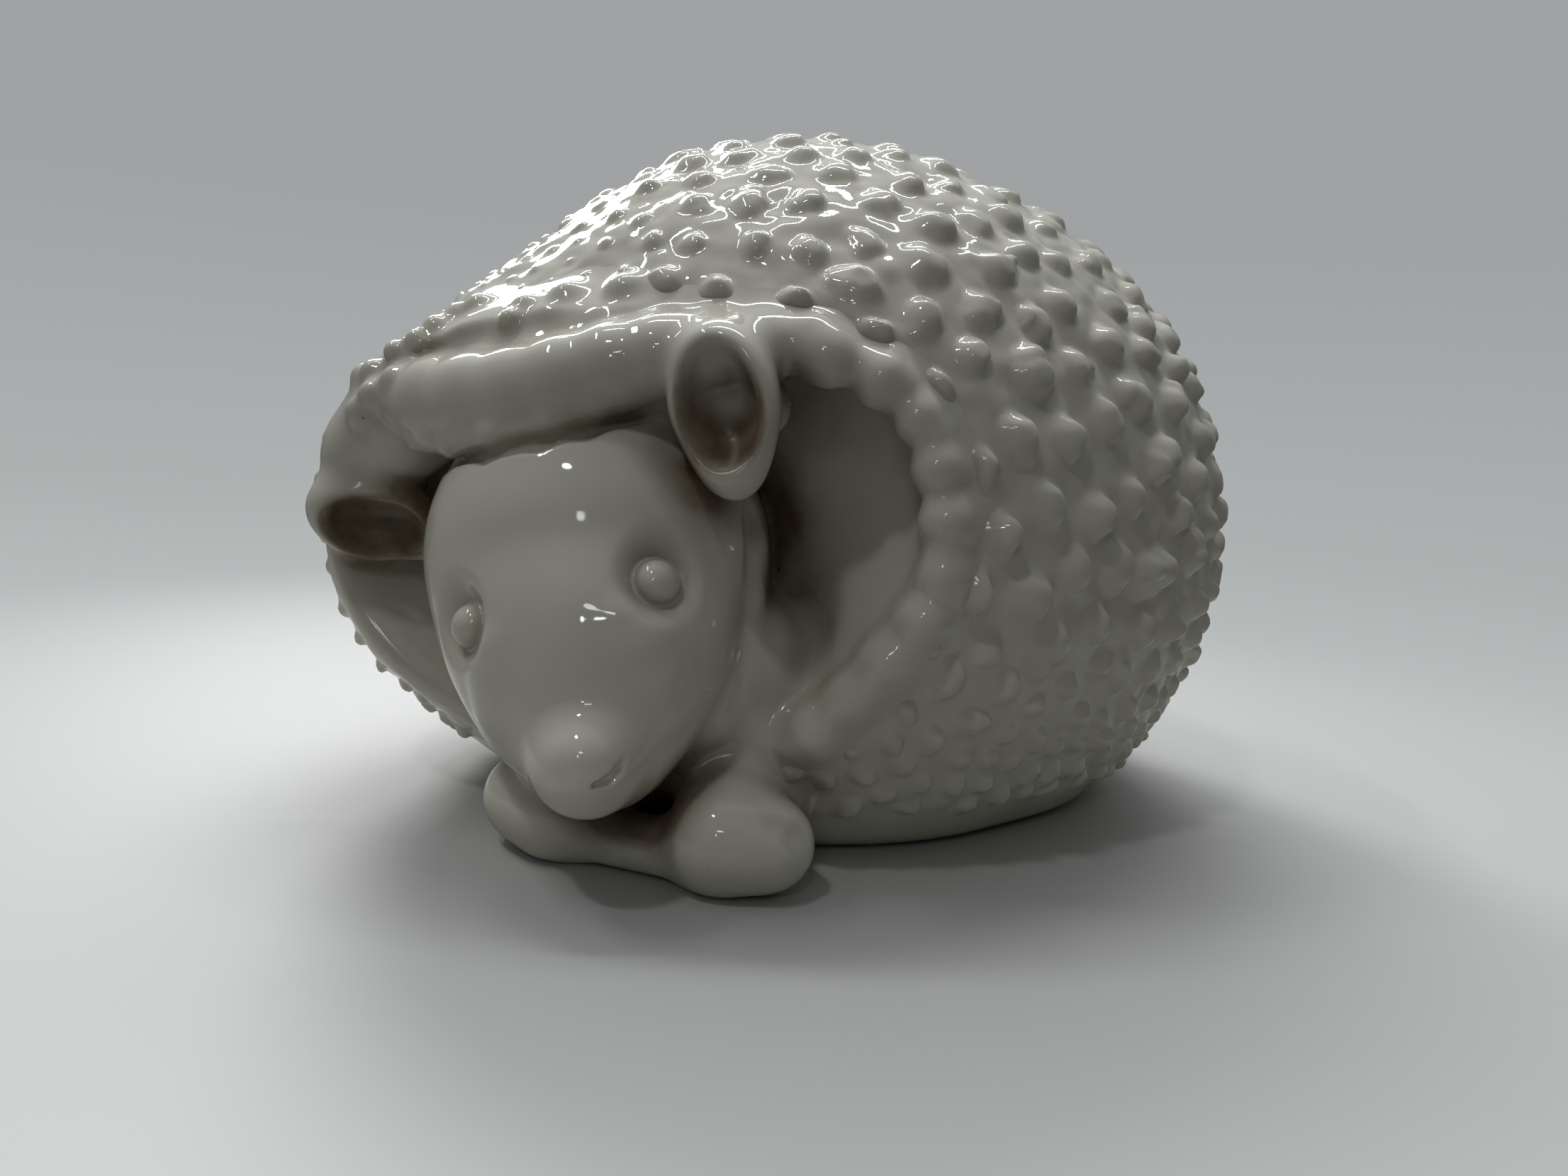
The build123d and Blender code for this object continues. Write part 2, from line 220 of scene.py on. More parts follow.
board_reach, board_plain, board_gone = 0.6, 0.05, 0.18
board_seen, board_unseen = (0.60, 0.61, 0.61, 1), (0.38, 0.38, 0.365, 1)
board_corners = ((-1, -1), (1, -1), (1, 1), (-1, 1))
board_mesh = bpy.data.meshes.new("board")
board_mesh.from_pydata([(x * board_reach, y * board_reach, 0) for x, y in board_corners], [], [(0, 1, 2, 3)])
board = put_in("board", board_mesh)


def new_finish(name):
    """A material, the tree to paint it in, and its shader."""
    finish = bpy.data.materials.new(name)
    finish.use_nodes = True
    return finish, Tree(finish.node_tree), finish.node_tree.nodes["Principled BSDF"]


board_finish, paint, shader = new_finish("pale board")
for_lens = paint.add("ShaderNodeLightPath").outputs["Is Camera Ray"]
board_colour = paint.mix(for_lens, board_unseen, board_seen)
from_middle = paint.vector("LENGTH", paint.add("ShaderNodeTexCoord").outputs["Object"])
fade = paint.ranged(from_middle, board_plain, board_gone, 1.0, 0.0, interpolation_type="SMOOTHSTEP")
paint.feed(shader, {"Base Color": board_colour, "Roughness": 0.6, "Alpha": fade})
board_mesh.materials.append(board_finish)

# Coat: the ball-shaped body with its smooth hollow for the head, and the quills on it.
# Slip-cast porcelain about 3 mm thick. The quills are lumps in the mould, in rows across the body,
# softened by the glaze that pools round their feet.
coat_turn = np.radians(46.2)            # the row of balls points this far from -Y towards -X
rear_distance, rear_radius = 0.0084, 0.0426
middle_radius = 0.0444
brow_distance, brow_radius = 0.0302, 0.0250
axis_height = 0.0300
coat_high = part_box("coat_shell")[1]
origin = np.array([
    coat_high.x - rear_distance * np.sin(coat_turn) - rear_radius,
    coat_high.y - rear_distance * np.cos(coat_turn) - rear_radius,
    0.0,
])
coat_wall = 0.0030
coat_cell = 0.00045
coat_axis = np.array([-np.sin(coat_turn), -np.cos(coat_turn), 0.0])
coat_side = np.array([np.cos(coat_turn), -np.sin(coat_turn), 0.0])
upright = np.array([0.0, 0.0, 1.0])


def spot(x, y, z):
    """A point that the drawing gives from under the middle ball, in the model's frame."""
    return origin + np.array([x, y, z])


def length(vectors):
    return np.sqrt((vectors * vectors).sum(-1))


def ball(points, centre, radius):
    return length(points - centre) - radius


def ball_pair(points, start, end, start_radius, end_radius):
    """Depth under the skin of two balls and the cone that joins them, negative inside."""
    span = end - start
    reach = span @ span
    taper = start_radius - end_radius
    free = reach - taper * taper
    local = points - start
    along = local @ span
    beyond = along - reach
    aside = length(local * reach - along[..., None] * span) ** 2
    limit = np.sign(taper) * taper * taper * aside
    depth = (np.sqrt(np.maximum(aside * free / reach, 0)) + along * taper) / reach - start_radius
    at_start = np.sign(along) * free * along * along * reach < limit
    at_end = np.sign(beyond) * free * beyond * beyond * reach > limit
    depth = np.where(at_start, np.sqrt(aside + along * along * reach) / reach - start_radius, depth)
    return np.where(at_end, np.sqrt(aside + beyond * beyond * reach) / reach - end_radius, depth)


def egg(points, centre, axes, radii):
    """Depth under the skin of an egg with those three half lengths along the rows of axes."""
    local = (points - centre) @ axes.T
    ratio = length(local / radii)
    return ratio * (ratio - 1.0) / np.maximum(length(local / (radii * radii)), 1e-9)


def melt(first, second, fillet):
    """Both forms with a fillet of that width where they meet."""
    near = np.maximum(fillet - np.abs(first - second), 0) / fillet
    return np.minimum(first, second) - near * near * fillet / 4


def carve(form, tool, fillet):
    """The form with the tool's shape taken out and the edge softened."""
    return -melt(-form, tool, fillet)


def coat_form(points):
    rear = origin + upright * axis_height - coat_axis * rear_distance
    core = origin + upright * axis_height
    brow = core + coat_axis * brow_distance
    return np.minimum(ball_pair(points, rear, core, rear_radius, middle_radius),
                      ball_pair(points, core, brow, middle_radius, brow_radius))


bowl_centre = spot(-0.0080, -0.0437, 0.0280)
bowl_radii = np.array([0.0308, 0.0200, 0.0200])
corner_centre = spot(0.0065, -0.0437, 0.0355)
corner_radii = np.array([0.0243, 0.0165, 0.0158])
bowl_blend, bowl_rim_round = 0.0040, 0.0038
foot_rim_round = 0.0022
vent_place = spot(0.0, 0.0150, 0.0)
vent_radius = 0.0025
vent_depth = 0.0120


def bowl_form(points):
    return melt(egg(points, bowl_centre, np.eye(3), bowl_radii),
                egg(points, corner_centre, np.eye(3), corner_radii), bowl_blend)


def beyond_bowl(points, margin):
    """How far outside the bowl a point is, grown by a margin: 0 at its edge, about 1 at twice its size."""
    return np.minimum(*((((points - centre) / (radii + margin)) ** 2).sum(-1) - 1
                        for centre, radii in ((bowl_centre, bowl_radii), (corner_centre, corner_radii))))


def body_form(points):
    """The coat with the bowl, its flat foot and the vent hole."""
    body = carve(coat_form(points), bowl_form(points), bowl_rim_round)
    body = carve(body, points[..., 2], foot_rim_round)
    vent = np.maximum(length((points - vent_place)[..., :2]) - vent_radius, points[..., 2] - vent_depth)
    return np.maximum(body, -vent)


def slope_of(form, points, step=0.00002):
    """The direction in which a form's depth grows fastest, by a small step each way."""
    slopes = np.empty_like(points)
    for axis in range(3):
        shift = np.zeros(3)
        shift[axis] = step
        slopes[:, axis] = (form(points + shift) - form(points - shift)) / (2 * step)
    return slopes


def unit(vectors):
    return vectors / np.maximum(length(vectors), 1e-12)[:, None]


def settle(form, points, most, rounds=3):
    """Points moved onto a form's skin, none by more than most a round."""
    for _ in range(rounds):
        slopes = slope_of(form, points)
        moves = slopes * (form(points) / np.maximum((slopes * slopes).sum(1), 0.05))[:, None]
        size = length(moves)
        points = points - moves * (np.minimum(size, most) / np.maximum(size, 1e-12))[:, None]
    return points


def even_out(points, quads, pull=0.6):
    """Points drawn towards the middle of their neighbours."""
    starts = quads.ravel()
    ends = np.roll(quads, -1, 1).ravel()
    starts, ends = np.concatenate([starts, ends]), np.concatenate([ends, starts])
    count = np.maximum(np.bincount(starts, minlength=len(points)), 1)
    sums = [np.bincount(starts, points[ends, axis], len(points)) for axis in range(3)]
    return points * (1 - pull) + np.stack(sums, 1) / count[:, None] * pull


def skin_of(form, low, high, cell):
    """Points and four-cornered faces of a form's skin inside a box, walked out of a grid of cells."""
    grid = [np.arange(start, end + cell, cell) for start, end in zip(low, high)]
    plane = np.stack(np.meshgrid(grid[1], grid[2], indexing="ij"), -1)
    depth = np.stack([form(np.concatenate([np.full(plane.shape[:2] + (1,), x), plane], -1)) for x in grid[0]])
    inside = depth < 0
    corners = [(i, j, k) for i in (0, 1) for j in (0, 1) for k in (0, 1)]
    full = np.array(depth.shape) - 1
    count = sum(inside[i:full[0] + i, j:full[1] + j, k:full[2] + k].astype(np.int8) for i, j, k in corners)
    crossed = (count > 0) & (count < 8)
    number = np.full(crossed.shape, -1)
    number[crossed] = np.arange(crossed.sum())
    cells = np.argwhere(crossed)
    total = np.zeros((len(cells), 3))
    hits = np.zeros(len(cells))
    for near in corners:
        for axis in range(3):
            if near[axis]:
                continue
            far = list(near)
            far[axis] = 1
            first = depth[tuple((cells + near).T)]
            second = depth[tuple((cells + far).T)]
            cuts = (first < 0) != (second < 0)
            share = np.where(cuts, first / np.where(cuts, first - second, 1), 0)
            total[:, axis] += share * cuts
            total += np.array(near) * cuts[:, None]
            hits += cuts
    points = np.array([axis[0] for axis in grid]) + cell * (cells + total / hits[:, None])
    quads = []
    for axis in range(3):
        second, third = np.eye(3, dtype=int)[[(axis + 1) % 3, (axis + 2) % 3]]
        trimmed = inside[tuple(slice(None) if other == axis else slice(1, -1) for other in range(3))]
        edges = np.argwhere(np.diff(trimmed, axis=axis)) + 1
        edges[:, axis] -= 1
        quad = np.stack([number[tuple((edges - second - third).T)], number[tuple((edges - third).T)],
                         number[tuple(edges.T)], number[tuple((edges - second).T)]], 1)
        outward = inside[tuple(edges.T)]
        quads.append(np.where(outward[:, None], quad, quad[:, ::-1]))
    return points, np.concatenate(quads)


def smooth_skin(form, low, high, cell):
    """The skin of a form inside a box as even points and faces, settled onto it twice."""
    points, quads = skin_of(form, low, high, cell)
    for _ in range(2):
        points = settle(form, even_out(points, quads), cell, 2)
    return points, quads


def facing_of(points, quads):
    """The direction that each point of a mesh faces, from the faces round it."""
    across = points[quads[:, 2]] - points[quads[:, 0]]
    along = points[quads[:, 3]] - points[quads[:, 1]]
    facing = np.repeat(np.cross(across, along), 4, 0)
    return unit(np.stack([np.bincount(quads.ravel(), facing[:, axis], len(points)) for axis in range(3)], 1))


def mesh_of(name, points, quads, facing, finish):
    """An object of those points and faces, shaded as the given directions say."""
    mesh = bpy.data.meshes.new(name)
    mesh.from_pydata(points.tolist(), [], quads.tolist())
    mesh.shade_smooth()
    mesh.normals_split_custom_set_from_vertices(facing.tolist())
    mesh.materials.append(finish)
    return put_in(name, mesh)


def keep(mesh, name, values):
    """A value kept at each point of a mesh under a name."""
    mesh.attributes.new(name, "FLOAT", "POINT").data.foreach_set("value", np.array(values, np.float32))


def wall_of(name, quads, outer, inner, facing, finish):
    """A closed piece of wall: the chosen faces outside, the same ones inside, and the cut edges."""
    used, order = np.unique(quads, return_inverse=True)
    quads = order.reshape(quads.shape)
    count = len(used)
    starts, ends = quads.ravel(), np.roll(quads, -1, 1).ravel()
    free = ~np.isin(starts * count + ends, ends * count + starts)
    edge, after = starts[free], ends[free]
    rim = np.stack([after, edge, edge + count, after + count], 1)
    return mesh_of(name, np.concatenate([outer[used], inner[used]]),
                   np.concatenate([quads, quads[:, ::-1] + count, rim]),
                   np.concatenate([facing[used], -facing[used]]), finish)


# Where the coat is left smooth, and where one area of quills meets the next.
foot_band = 0.0060
bare_band, left_bare_band = 0.0022, 0.0060
left_side = origin[0] - 0.0180
crown_height = 0.0580
brow_station, rump_station = 0.0140, -0.0220
quill_clearance = 0.0020
roll_half_width, roll_half_height, roll_y = 0.0290, 0.0190, -0.0365
roll_radius = 0.0058
roll_angles = (56.0, 154.0)


def roll_line(degrees):
    """A point on the middle line of the coat's hem roll."""
    turn = np.radians(degrees)
    zero = np.zeros_like(turn)
    return origin + np.stack([bowl_centre[0] - origin[0] + roll_half_width * np.cos(turn),
                              zero + roll_y, bowl_centre[2] + roll_half_height * np.sin(turn)], -1)


def bare(points, margin=0.0):
    """Whether the coat is left smooth there: at the bowl, the hem roll, the foot and the front legs."""
    near_bowl = beyond_bowl(points, bare_band + margin) < 0
    near_bowl |= (beyond_bowl(points, left_bare_band + margin) < 0) & (points[:, 0] < left_side)
    turn = np.degrees(np.arctan2((points[:, 2] - bowl_centre[2]) / roll_half_height,
                                 (points[:, 0] - bowl_centre[0]) / roll_half_width))
    core = roll_line(np.clip(turn, *roll_angles))
    near_roll = length(points - core) < roll_radius + quill_clearance + margin
    low = points[:, 2] < foot_band + margin
    return near_bowl | near_roll | low


def outline_place(walked):
    """Station and distance from the axis of the coat, a way along its outline from behind."""
    lean_back = np.arccos((rear_radius - middle_radius) / rear_distance)
    lean_front = np.arccos((middle_radius - brow_radius) / brow_distance)
    for station, radius, start, end, gap in (
        (-rear_distance, rear_radius, np.pi, lean_back, rear_distance),
        (0.0, middle_radius, lean_back, lean_front, brow_distance),
        (brow_distance, brow_radius, lean_front, 0.0, 0.0),
    ):
        if walked <= radius * (start - end):
            turn = start - walked / radius
            return station + radius * np.cos(turn), radius * np.sin(turn)
        walked -= radius * (start - end)
        if walked <= gap * np.sin(end):
            return (station + radius * np.cos(end) + walked * np.sin(end),
                    radius * np.sin(end) - walked * np.cos(end))
        walked -= gap * np.sin(end)
    return None


# The quills start at the brow and follow it in rows, each as near to the last ones as its place lets it:
# far apart beside the head and on the crown, close at the foot and behind, and only dots over the brow.
foot_step, gap_scatter, rows_back = 0.0009, 0.16, 260
close_gap, wide_gap, dot_gap = 0.0047, 0.0064, 0.0035
wide_places = ((spot(0.034, -0.020, 0.044), 0.030), (spot(0.004, -0.008, 0.074), 0.030))
dotted_place, dotted_reach = spot(-0.022, -0.034, 0.050), 0.017
low_height, low_fade = 0.026, 0.012
tall_height, tall_fade = 0.048, 0.016   # from here up they stand lower


def nearness(points, place, reach):
    """1 near a place, falling to 0 at 1.6 times its reach."""
    return np.clip(1.6 - length(points - place) / reach, 0, 1)


dice = random.Random(11)
tried = []
walked = foot_step
while outline_place(walked):
    station, ring_radius = outline_place(walked)
    count = max(1, round(2 * np.pi * ring_radius / foot_step))
    first = dice.uniform(0, 2 * np.pi)
    for index in range(count):
        turn = first + 2 * np.pi * index / count
        across = coat_side * np.sin(turn) + upright * np.cos(turn)
        tried.append(origin + upright * axis_height + coat_axis * station + across * ring_radius)
    walked += foot_step
tried = np.array(tried)[::-1]
tried = tried[~bare(tried)]
wide = np.maximum(*(nearness(tried, place, reach) for place, reach in wide_places))
dotted = nearness(tried, dotted_place, dotted_reach)
low = np.clip((low_height - tried[:, 2]) / low_fade, 0, 1)
gaps = close_gap + (wide_gap - close_gap) * wide
gaps = gaps + (dot_gap - gaps) * np.maximum(dotted, low)
gaps = gaps * np.array([dice.uniform(1 - gap_scatter, 1 + gap_scatter) for _ in tried])
chosen = [0]
for index in range(1, len(tried)):
    if length(tried[chosen[-rows_back:]] - tried[index]).min() > gaps[index]:
        chosen.append(index)
feet, dotted, low = tried[chosen], dotted[chosen], low[chosen]


def room_round(places):
    """How far each place is from the nearest other one."""
    apart = length(places[:, None] - places[None])
    np.fill_diagonal(apart, 1)
    return apart.min(1)


# Each is about half as high as it reaches, and some grow a smaller twin at their side.
full_share, full_shares, height_shares, slim_shares = 0.5, (0.86, 1.0), (0.46, 0.64), (0.78, 1.0)
twin_share, twin_way, twin_room, twin_sizes, twin_tallness = 0.38, 0.62, 0.48, (0.55, 0.85), (0.55, 1.0)
dots_smaller, dots_lower, foot_lower, crown_lower = 0.50, 0.28, 0.08, 0.40
reaches = room_round(feet) * full_share * np.array([dice.uniform(*full_shares) for _ in feet])
reaches = reaches * (1 - dots_smaller * dotted)
heights = reaches * np.array([dice.uniform(*height_shares) for _ in feet]) * (1 - dots_lower * dotted)
on_crown = np.clip((feet[:, 2] - tall_height) / tall_fade, 0, 1)
heights = heights * (1 - foot_lower * low) * (1 - crown_lower * on_crown)
twins, twin_reaches, twin_heights = [], [], []
for foot, reach, tall in zip(feet, reaches, heights):
    if dice.random() < twin_share:
        way = np.array([dice.gauss(0, 1) for _ in range(3)])
        twins.append(foot + way / np.sqrt(way @ way) * reach * twin_way)
        twin_reaches.append(reach * dice.uniform(*twin_sizes))
        twin_heights.append(tall * dice.uniform(*twin_tallness))
twins = np.array(twins)
twin_reaches = np.minimum(twin_reaches, room_round(twins) * twin_room)
kinds = np.array([1] * len(feet) + [0] * len(twins))
feet = np.concatenate([feet, twins])
reaches, heights = np.concatenate([reaches, twin_reaches]), np.concatenate([heights, twin_heights])
slims = [dice.uniform(*slim_shares) for _ in feet]
quill_mesh = bpy.data.meshes.new("quill feet")
quill_mesh.from_pydata(feet.tolist(), [], [])
for key, values in (("reach", reaches), ("height", heights), ("slim", slims)):
    keep(quill_mesh, key, values)
quill_mesh.attributes.new("kind", "INT", "POINT").data.foreach_set("value", kinds.astype(np.int32))
quill_feet = put_in("quill feet", quill_mesh)

# How high a quill stands from its middle to its rim, and how softly it runs into its twin.
quill_profile = ((0.0, 1.0), (1.0, 0.0), (0.36, 0.92), (0.60, 0.59), (0.80, 0.20), (0.92, 0.045))
twin_blend = 0.00035
grow = Tree(bpy.data.node_groups.new("raise quills", "GeometryNodeTree"))
grow.socket("Geometry", "Geometry")
quill_inputs = {
    "Quill Feet": ("Object", quill_feet),
    "Quill Lean": ("Float", 0.38),
    "Ground Swell": ("Float", 0.0013),
    "Swell Scale": ("Float", 210.0),
    "Outline Waver": ("Float", 0.0016),
    "Waver Scale": ("Float", 260.0),
    "Coat Axis": ("Vector", tuple(coat_axis)),
    "Finish": ("Material", None),
}
identifiers = {name: grow.socket(name, kind).identifier for name, (kind, value) in quill_inputs.items()}
grow.socket("Geometry", "Geometry", into=False)
given = grow.add("NodeGroupInput").outputs
place = grow.add("GeometryNodeInputPosition").outputs[0]
outward = grow.add("GeometryNodeInputNormal").outputs[0]
against = grow.vector("SCALE", outward, None, grow.vector("DOT_PRODUCT", given["Coat Axis"], outward))
rearward = grow.vector("NORMALIZE", grow.vector("SUBTRACT", against, given["Coat Axis"]))
sideways = grow.vector("CROSS_PRODUCT", outward, rearward)
wavering = grow.noise(place, given["Waver Scale"])["Color"]
wavering = grow.vector("SUBTRACT", wavering, (0.5, 0.5, 0.5))
shift = grow.vector("SCALE", wavering, None, given["Outline Waver"])
wavered = grow.vector("ADD", place, shift)
all_feet = grow.add("GeometryNodeObjectInfo", {"Object": given["Quill Feet"]}).outputs["Geometry"]


def kept(name, kind="FLOAT"):
    """A value kept at each point under a name."""
    return grow.add("GeometryNodeInputNamedAttribute", {"Name": name}, data_type=kind).outputs["Attribute"]


kinds = kept("kind", "INT")
lifts = []
for kind in (0, 1):
    chosen = grow.add("FunctionNodeCompare", {2: kinds, 3: kind}, data_type="INT",
                      operation="EQUAL").outputs[0]
    own_feet = grow.add("GeometryNodeSeparateGeometry", {"Geometry": all_feet, "Selection": chosen},
                        domain="POINT").outputs["Selection"]
    nearest = grow.add("GeometryNodeSampleNearest", {"Geometry": own_feet, "Sample Position": wavered},
                       domain="POINT").outputs["Index"]
    own = {}
    for key in ("foot", "reach", "height", "slim"):
        value, sort = (place, "FLOAT_VECTOR") if key == "foot" else (kept(key), "FLOAT")
        inputs = {"Geometry": own_feet, "Index": nearest, "Value": value}
        own[key] = grow.add("GeometryNodeSampleIndex", inputs, data_type=sort, domain="POINT").outputs[0]
    local = grow.vector("SUBTRACT", wavered, own["foot"])
    back = grow.sum("DIVIDE", grow.vector("DOT_PRODUCT", local, rearward),
                    grow.times(own["reach"], own["slim"]))
    aside = grow.sum("DIVIDE", grow.vector("DOT_PRODUCT", local, sideways), own["reach"])
    share = grow.sum("SQRT", grow.sum("ADD", grow.times(back, back),
                                      grow.times(aside, aside)))
    profile = grow.add("ShaderNodeFloatCurve", {"Value": share})
    curve = profile.mapping.curves[0]
    curve.points[0].location, curve.points[1].location = quill_profile[:2]
    for along, high in quill_profile[2:]:
        curve.points.new(along, high)
    profile.mapping.update()
    lifts.append(grow.times(profile.outputs[0], own["height"]))
raised = grow.sum("SMOOTH_MAX", *lifts, twin_blend)
quilled = kept("quilled")
swell = grow.sum("SUBTRACT", grow.noise(place, given["Swell Scale"])["Fac"], 0.5)
swell = grow.times(swell, given["Ground Swell"])
lift = grow.times(quilled, grow.sum("ADD", swell, raised))
lean = grow.times(quilled, grow.times(raised, given["Quill Lean"]))
move = grow.vector("ADD", grow.vector("SCALE", outward, None, lift),
                   grow.vector("SCALE", rearward, None, lean))
moved = grow.add("GeometryNodeSetPosition", {"Geometry": given["Geometry"], "Offset": move}).outputs[0]
real = grow.add("GeometryNodeRealizeInstances", {"Geometry": moved}).outputs[0]
finished = grow.add("GeometryNodeSetMaterial", {"Geometry": real, "Material": given["Finish"]}).outputs[0]
grow.add("NodeGroupOutput", {"Geometry": finished})


# The glaze: glossy ivory-white glass over the porcelain, with dust where it can't be wiped and painted shade
# in the same closed-in places.
clean_roughness, dusty_roughness, glaze_bend = 0.045, 0.40, 1.52
peel_strength, peel_height = 0.10, 0.00004
patch_scale, tint_scale, speck_scale, peel_scale = 230.0, 70.0, 190.0, 380.0
speck_colour, speck_rarity, speck_edge, speck_core = (0.10, 0.06, 0.04, 1), 0.80, 0.030, 0.012
wear = Tree(bpy.data.node_groups.new("dust, painted shade and specks", "ShaderNodeTree"))
wear.socket("Clay Colour", "Color", (0.80, 0.785, 0.69, 1))
# This dark brown stands both for dust and for painted shade in the hollows.
wear.socket("Dirt And Painted Shade Colour", "Color", (0.17, 0.115, 0.055, 1))
wear.socket("Dirt And Painted Shade Amount", "Float", 1.0)
wear.socket("Speck Amount", "Float", 1.0)
wear.socket("Colour", "Color", into=False)
wear.socket("Dirt And Painted Shade", "Float", into=False)
wear.socket("Height", "Float", into=False)
given = wear.add("NodeGroupInput").outputs
surface = wear.add("ShaderNodeTexCoord").outputs["Object"]
# The hollow value lays the dark brown into closed-in places: partly dust, partly painted shade where less
# light reaches.
hollow = wear.add("ShaderNodeAttribute", attribute_name="hollow").outputs["Fac"]
patchy = wear.ranged(wear.noise(surface, patch_scale, 3.0)["Fac"], 0.35, 0.68)
dust_and_shade_share = wear.times(wear.times(hollow, given["Dirt And Painted Shade Amount"]),
                     wear.sum("MULTIPLY_ADD", patchy, 0.30, 0.70))
dust_and_shade_share = wear.add("ShaderNodeClamp", [dust_and_shade_share]).outputs[0]
tint = wear.ranged(wear.noise(surface, tint_scale, 2.0)["Fac"], 0.3, 0.7, 0.955, 1.03)
shade = [tint, tint, wear.sum("MULTIPLY_ADD", tint, 1.3, -0.3)]
shade = wear.add("ShaderNodeCombineColor", shade).outputs[0]
clay = wear.mix(1.0, given["Clay Colour"], shade, "MULTIPLY")
cells = wear.add("ShaderNodeTexVoronoi", {"Vector": surface, "Scale": speck_scale}).outputs
picked = wear.add("ShaderNodeSeparateColor", [cells["Color"]]).outputs[0]
rare = wear.sum("GREATER_THAN", picked, speck_rarity)
dot = wear.ranged(cells["Distance"], speck_edge, speck_core)
speck = wear.times(wear.times(dot, rare), given["Speck Amount"])
# The clay turns dark brown where hollow: dust, and painted shade in the recesses.
dusted_and_shaded = wear.mix(dust_and_shade_share, clay, given["Dirt And Painted Shade Colour"])
dotted = wear.mix(speck, dusted_and_shaded, speck_colour)
peel = wear.noise(surface, peel_scale)["Fac"]
wear.add("NodeGroupOutput", [dotted, dust_and_shade_share, peel])


def glaze(name, speck_amount=1.0):
    """A glossy white glaze with more or fewer specks in it."""
    finish, paint, shader = new_finish(name)
    worn = paint.add("ShaderNodeGroup", {"Speck Amount": speck_amount}, node_tree=wear.tree).outputs
    bump = paint.add("ShaderNodeBump", {"Strength": peel_strength, "Distance": peel_height,
                                        "Height": worn["Height"]}).outputs[0]
    gloss = paint.ranged(worn["Dirt And Painted Shade"], None, None, clean_roughness, dusty_roughness)
    paint.feed(shader, {"Base Color": worn["Colour"], "Roughness": gloss, "Normal": bump, "IOR": glaze_bend})
    return finish


coat_finish = glaze("coat glaze")
coat_margin, bowl_scale, quill_fade = 0.002, 0.010, 0.002
points, quads = smooth_skin(body_form, np.array(model_low) - coat_margin, np.array(model_high) + coat_margin,
                            coat_cell)
smooth_facing = unit(slope_of(body_form, points))
on_bowl = np.abs(bowl_form(points)) < np.abs(coat_form(points))
bands = np.minimum(beyond_bowl(points, bare_band) * bowl_scale, points[:, 2] - foot_band + quill_clearance)
quilled = np.where(on_bowl, 0, np.clip(bands / quill_fade, 0, 1))
skin_mesh = bpy.data.meshes.new("coat skin")
skin_mesh.from_pydata(points.tolist(), [], quads.tolist())
skin_mesh.shade_smooth()
keep(skin_mesh, "quilled", quilled)
skin = put_in("coat skin", skin_mesh)
modifier = skin.modifiers.new("raise quills", "NODES")
modifier.node_group = grow.tree
for name, (kind, value) in quill_inputs.items():
    modifier[identifiers[name]] = coat_finish if name == "Finish" else value
shown = bpy.data.meshes.new_from_object(skin.evaluated_get(bpy.context.evaluated_depsgraph_get()))
outer = np.empty(len(points) * 3, np.float32)
shown.vertices.foreach_get("co", outer)
outer = outer.reshape(-1, 3).astype(float)
for scrap in (skin, quill_feet):
    bpy.data.objects.remove(scrap)
still = length(outer - points) < 1e-6
facing = np.where(still[:, None], smooth_facing, facing_of(outer, quads))
inner = points - smooth_facing * coat_wall
inner = settle(lambda places: body_form(places) + coat_wall, inner, coat_wall / 4, 3)

# Each face of the casting belongs to one area; the ones of the vent are left out, so that it stays open.
bare_overlap, foot_flat, facing_down = 0.002, 0.0008, -0.8
vent_width_share, vent_depth_share, vent_start = 1.15, 1.1, 0.0004
middles = points[quads].mean(1)
face_slopes = smooth_facing[quads].mean(1)
station = (middles - origin) @ coat_axis
side = (middles - origin) @ coat_side
zone = np.where(side > 0, "quills_left_flank", "quills_right_flank")
in_vent = length((middles - vent_place)[:, :2]) < vent_radius * vent_width_share
in_vent &= (middles[:, 2] < vent_depth * vent_depth_share) & (middles[:, 2] > vent_start)
for node, area in {
    "quills_rump": station < rump_station,
    "quills_brow": station > brow_station,
    "quills_crown": middles[:, 2] > crown_height,
    "coat_shell": bare(middles, -bare_overlap),
    "face_bowl": on_bowl[quads].sum(1) > 2,
    "foot_plate": (middles[:, 2] < foot_flat) & (face_slopes[:, 2] < facing_down),
    "vent": in_vent,
}.items():
    zone = np.where(area, node, zone)
coat_names = {"coat_shell": "coat", "quills_crown": "crown", "quills_brow": "brow", "quills_rump": "rump",
              "quills_left_flank": "left_flank", "quills_right_flank": "right_flank"}
for node, name in coat_names.items():
    piece = wall_of(name, quads[zone == node], outer, inner, facing, coat_finish)
    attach(piece, "root")
    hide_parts(node)

# Face bowl: the smooth hollow that the head lies in.
# The same porcelain wall, pressed in behind and round the head while the clay was soft.
bowl_finish = glaze("bowl glaze")
piece = wall_of("bowl", quads[zone == "face_bowl"], outer, inner, facing, bowl_finish)
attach(piece, "root")
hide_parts("face_bowl")

# Foot: the flat underside, wiped clean of glaze so that it doesn't stick to the kiln shelf.
# Bare fired porcelain with the hole that lets the steam out.
foot_clay, foot_roughness = (0.74, 0.71, 0.65, 1), 0.75
foot_finish, paint, shader = new_finish("bare foot")
worn = paint.add("ShaderNodeGroup", {"Clay Colour": foot_clay}, node_tree=wear.tree)
paint.feed(shader, {"Base Color": worn.outputs["Colour"], "Roughness": foot_roughness})
piece = wall_of("foot", quads[zone == "foot_plate"], outer, inner, facing, foot_finish)
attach(piece, "root")
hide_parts("foot_plate")

